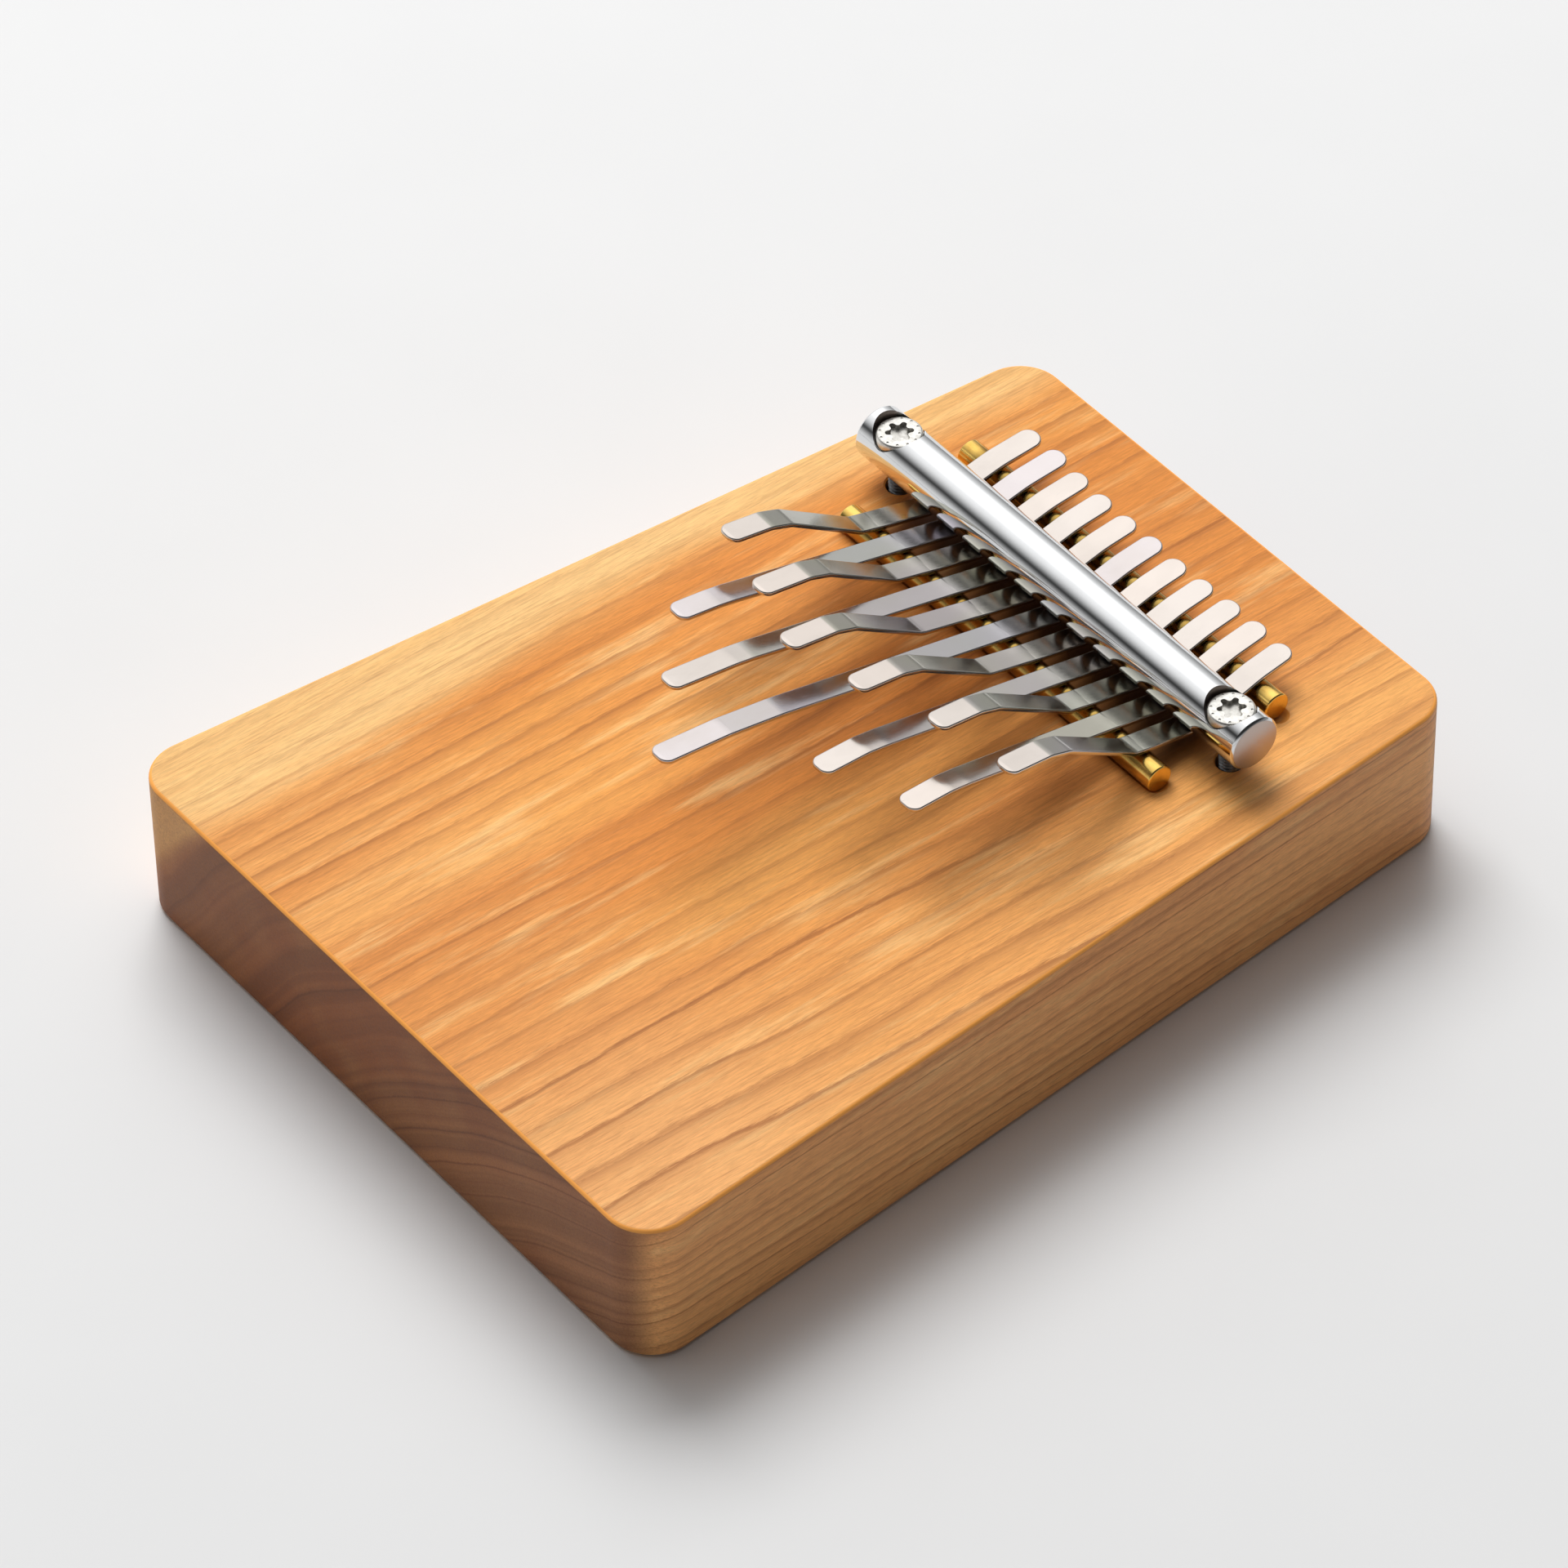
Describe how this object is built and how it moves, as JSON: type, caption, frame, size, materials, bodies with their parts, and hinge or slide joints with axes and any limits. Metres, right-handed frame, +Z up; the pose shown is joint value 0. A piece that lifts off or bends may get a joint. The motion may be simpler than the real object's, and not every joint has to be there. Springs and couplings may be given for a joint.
{
  "type": "mbira",
  "caption": "Board mbira: spring-steel tines laid over brass rods and gripped by a round steel bar on a tapered wooden sound box.",
  "frame": {"origin": "centre of the underside, halfway along and across the box", "axes": "+Z up out of the playing face; +X along the pressure bar, towards the player's right; the tine tips point to -Y, towards the player, and the bridge is at the +Y end"},
  "size_m": [0.138, 0.18, 0.0499],
  "materials": {
    "cherry_wood": "satin oiled, straight grain with darker growth lines",
    "back_wood": "matt sanded",
    "brass": "polished",
    "insert_brass": "plain turned",
    "polished_steel": "mirror polished, satin ends",
    "stainless_screw": "satin",
    "spring_steel": "satin polished"
  },
  "bodies": {
    "box": {"body_block": "cherry_wood", "back_plate": "back_wood", "front_bridge_rod": "brass", "rear_bridge_rod": "brass", "screw_insert_left": "insert_brass", "screw_insert_right": "insert_brass"},
    "clamp_bar": {"pressure_bar": "polished_steel"},
    "left_screw": {"clamp_screw_left": "stainless_screw"},
    "right_screw": {"clamp_screw_right": "stainless_screw"},
    "tail_01": {"tine_01_tail": "spring_steel"},
    "tongue_01": {"tine_01_tongue": "spring_steel"},
    "tail_02": {"tine_02_tail": "spring_steel"},
    "tongue_02": {"tine_02_tongue": "spring_steel"},
    "tail_03": {"tine_03_tail": "spring_steel"},
    "tongue_03": {"tine_03_tongue": "spring_steel"},
    "tail_04": {"tine_04_tail": "spring_steel"},
    "tongue_04": {"tine_04_tongue": "spring_steel"},
    "tail_05": {"tine_05_tail": "spring_steel"},
    "tongue_05": {"tine_05_tongue": "spring_steel"},
    "tail_06": {"tine_06_tail": "spring_steel"},
    "tongue_06": {"tine_06_tongue": "spring_steel"},
    "tail_07": {"tine_07_tail": "spring_steel"},
    "tongue_07": {"tine_07_tongue": "spring_steel"},
    "tail_08": {"tine_08_tail": "spring_steel"},
    "tongue_08": {"tine_08_tongue": "spring_steel"},
    "tail_09": {"tine_09_tail": "spring_steel"},
    "tongue_09": {"tine_09_tongue": "spring_steel"},
    "tail_10": {"tine_10_tail": "spring_steel"},
    "tongue_10": {"tine_10_tongue": "spring_steel"},
    "tail_11": {"tine_11_tail": "spring_steel"},
    "tongue_11": {"tine_11_tongue": "spring_steel"}
  },
  "joints": [
    {"name": "clamp_bar_lift", "type": "slide", "parent": "box", "child": "clamp_bar", "axis": [0, 0, 1], "range_m": [0, 0.0007]},
    {"name": "left_screw_turn", "type": "hinge", "parent": "clamp_bar", "child": "left_screw", "pos_m": [-0.0434, 0.0517, 0.038], "axis": [0, 0, 1], "range_deg": [0, 360]},
    {"name": "right_screw_turn", "type": "hinge", "parent": "clamp_bar", "child": "right_screw", "pos_m": [0.0434, 0.0517, 0.038], "axis": [0, 0, 1], "range_deg": [0, 360]},
    {"name": "tine_01_tune", "type": "slide", "parent": "box", "child": "tail_01", "axis": [-0.0385, -0.9993, 0], "range_m": [-0.001, 0.001]},
    {"name": "tine_01_pluck", "type": "hinge", "parent": "tail_01", "child": "tongue_01", "pos_m": [-0.0347, 0.0387, 0.0341], "axis": [0.9993, -0.0385, 0], "range_deg": [-3, 5], "stiffness_Nm_per_rad": 4.01},
    {"name": "tine_02_tune", "type": "slide", "parent": "box", "child": "tail_02", "axis": [-0.0308, -0.9995, 0], "range_m": [-0.001, 0.001]},
    {"name": "tine_02_pluck", "type": "hinge", "parent": "tail_02", "child": "tongue_02", "pos_m": [-0.02776, 0.0387, 0.0341], "axis": [0.9995, -0.0308, 0], "range_deg": [-3, 5], "stiffness_Nm_per_rad": 2.62},
    {"name": "tine_03_tune", "type": "slide", "parent": "box", "child": "tail_03", "axis": [-0.0231, -0.9997, 0], "range_m": [-0.001, 0.001]},
    {"name": "tine_03_pluck", "type": "hinge", "parent": "tail_03", "child": "tongue_03", "pos_m": [-0.02082, 0.0387, 0.0341], "axis": [0.9997, -0.0231, 0], "range_deg": [-3, 5], "stiffness_Nm_per_rad": 3.49},
    {"name": "tine_04_tune", "type": "slide", "parent": "box", "child": "tail_04", "axis": [-0.0154, -0.9999, 0], "range_m": [-0.001, 0.001]},
    {"name": "tine_04_pluck", "type": "hinge", "parent": "tail_04", "child": "tongue_04", "pos_m": [-0.01388, 0.0387, 0.0341], "axis": [0.9999, -0.0154, 0], "range_deg": [-3, 5], "stiffness_Nm_per_rad": 2.05},
    {"name": "tine_05_tune", "type": "slide", "parent": "box", "child": "tail_05", "axis": [-0.0077, -1, 0], "range_m": [-0.001, 0.001]},
    {"name": "tine_05_pluck", "type": "hinge", "parent": "tail_05", "child": "tongue_05", "pos_m": [-0.00694, 0.0387, 0.0341], "axis": [1, -0.0077, 0], "range_deg": [-3, 5], "stiffness_Nm_per_rad": 3.02},
    {"name": "tine_06_tune", "type": "slide", "parent": "box", "child": "tail_06", "axis": [0, -1, 0], "range_m": [-0.001, 0.001]},
    {"name": "tine_06_pluck", "type": "hinge", "parent": "tail_06", "child": "tongue_06", "pos_m": [0, 0.0387, 0.0341], "axis": [1, 0, 0], "range_deg": [-3, 5], "stiffness_Nm_per_rad": 1.68},
    {"name": "tine_07_tune", "type": "slide", "parent": "box", "child": "tail_07", "axis": [0.0077, -1, 0], "range_m": [-0.001, 0.001]},
    {"name": "tine_07_pluck", "type": "hinge", "parent": "tail_07", "child": "tongue_07", "pos_m": [0.00694, 0.0387, 0.0341], "axis": [1, 0.0077, 0], "range_deg": [-3, 5], "stiffness_Nm_per_rad": 3.23},
    {"name": "tine_08_tune", "type": "slide", "parent": "box", "child": "tail_08", "axis": [0.0154, -0.9999, 0], "range_m": [-0.001, 0.001]},
    {"name": "tine_08_pluck", "type": "hinge", "parent": "tail_08", "child": "tongue_08", "pos_m": [0.01388, 0.0387, 0.0341], "axis": [0.9999, 0.0154, 0], "range_deg": [-3, 5], "stiffness_Nm_per_rad": 2.39},
    {"name": "tine_09_tune", "type": "slide", "parent": "box", "child": "tail_09", "axis": [0.0231, -0.9997, 0], "range_m": [-0.001, 0.001]},
    {"name": "tine_09_pluck", "type": "hinge", "parent": "tail_09", "child": "tongue_09", "pos_m": [0.02082, 0.0387, 0.0341], "axis": [0.9997, 0.0231, 0], "range_deg": [-3, 5], "stiffness_Nm_per_rad": 3.76},
    {"name": "tine_10_tune", "type": "slide", "parent": "box", "child": "tail_10", "axis": [0.0308, -0.9995, 0], "range_m": [-0.001, 0.001]},
    {"name": "tine_10_pluck", "type": "hinge", "parent": "tail_10", "child": "tongue_10", "pos_m": [0.02776, 0.0387, 0.0341], "axis": [0.9995, 0.0308, 0], "range_deg": [-3, 5], "stiffness_Nm_per_rad": 2.73},
    {"name": "tine_11_tune", "type": "slide", "parent": "box", "child": "tail_11", "axis": [0.0385, -0.9993, 0], "range_m": [-0.001, 0.001]},
    {"name": "tine_11_pluck", "type": "hinge", "parent": "tail_11", "child": "tongue_11", "pos_m": [0.0347, 0.0387, 0.0341], "axis": [0.9993, 0.0385, 0], "range_deg": [-3, 5], "stiffness_Nm_per_rad": 4.13}
  ],
  "couplings": [
    {"joint": "left_screw_turn", "follows": "clamp_bar_lift", "rad_per_m": 8976},
    {"joint": "right_screw_turn", "follows": "clamp_bar_lift", "rad_per_m": 8976}
  ]
}
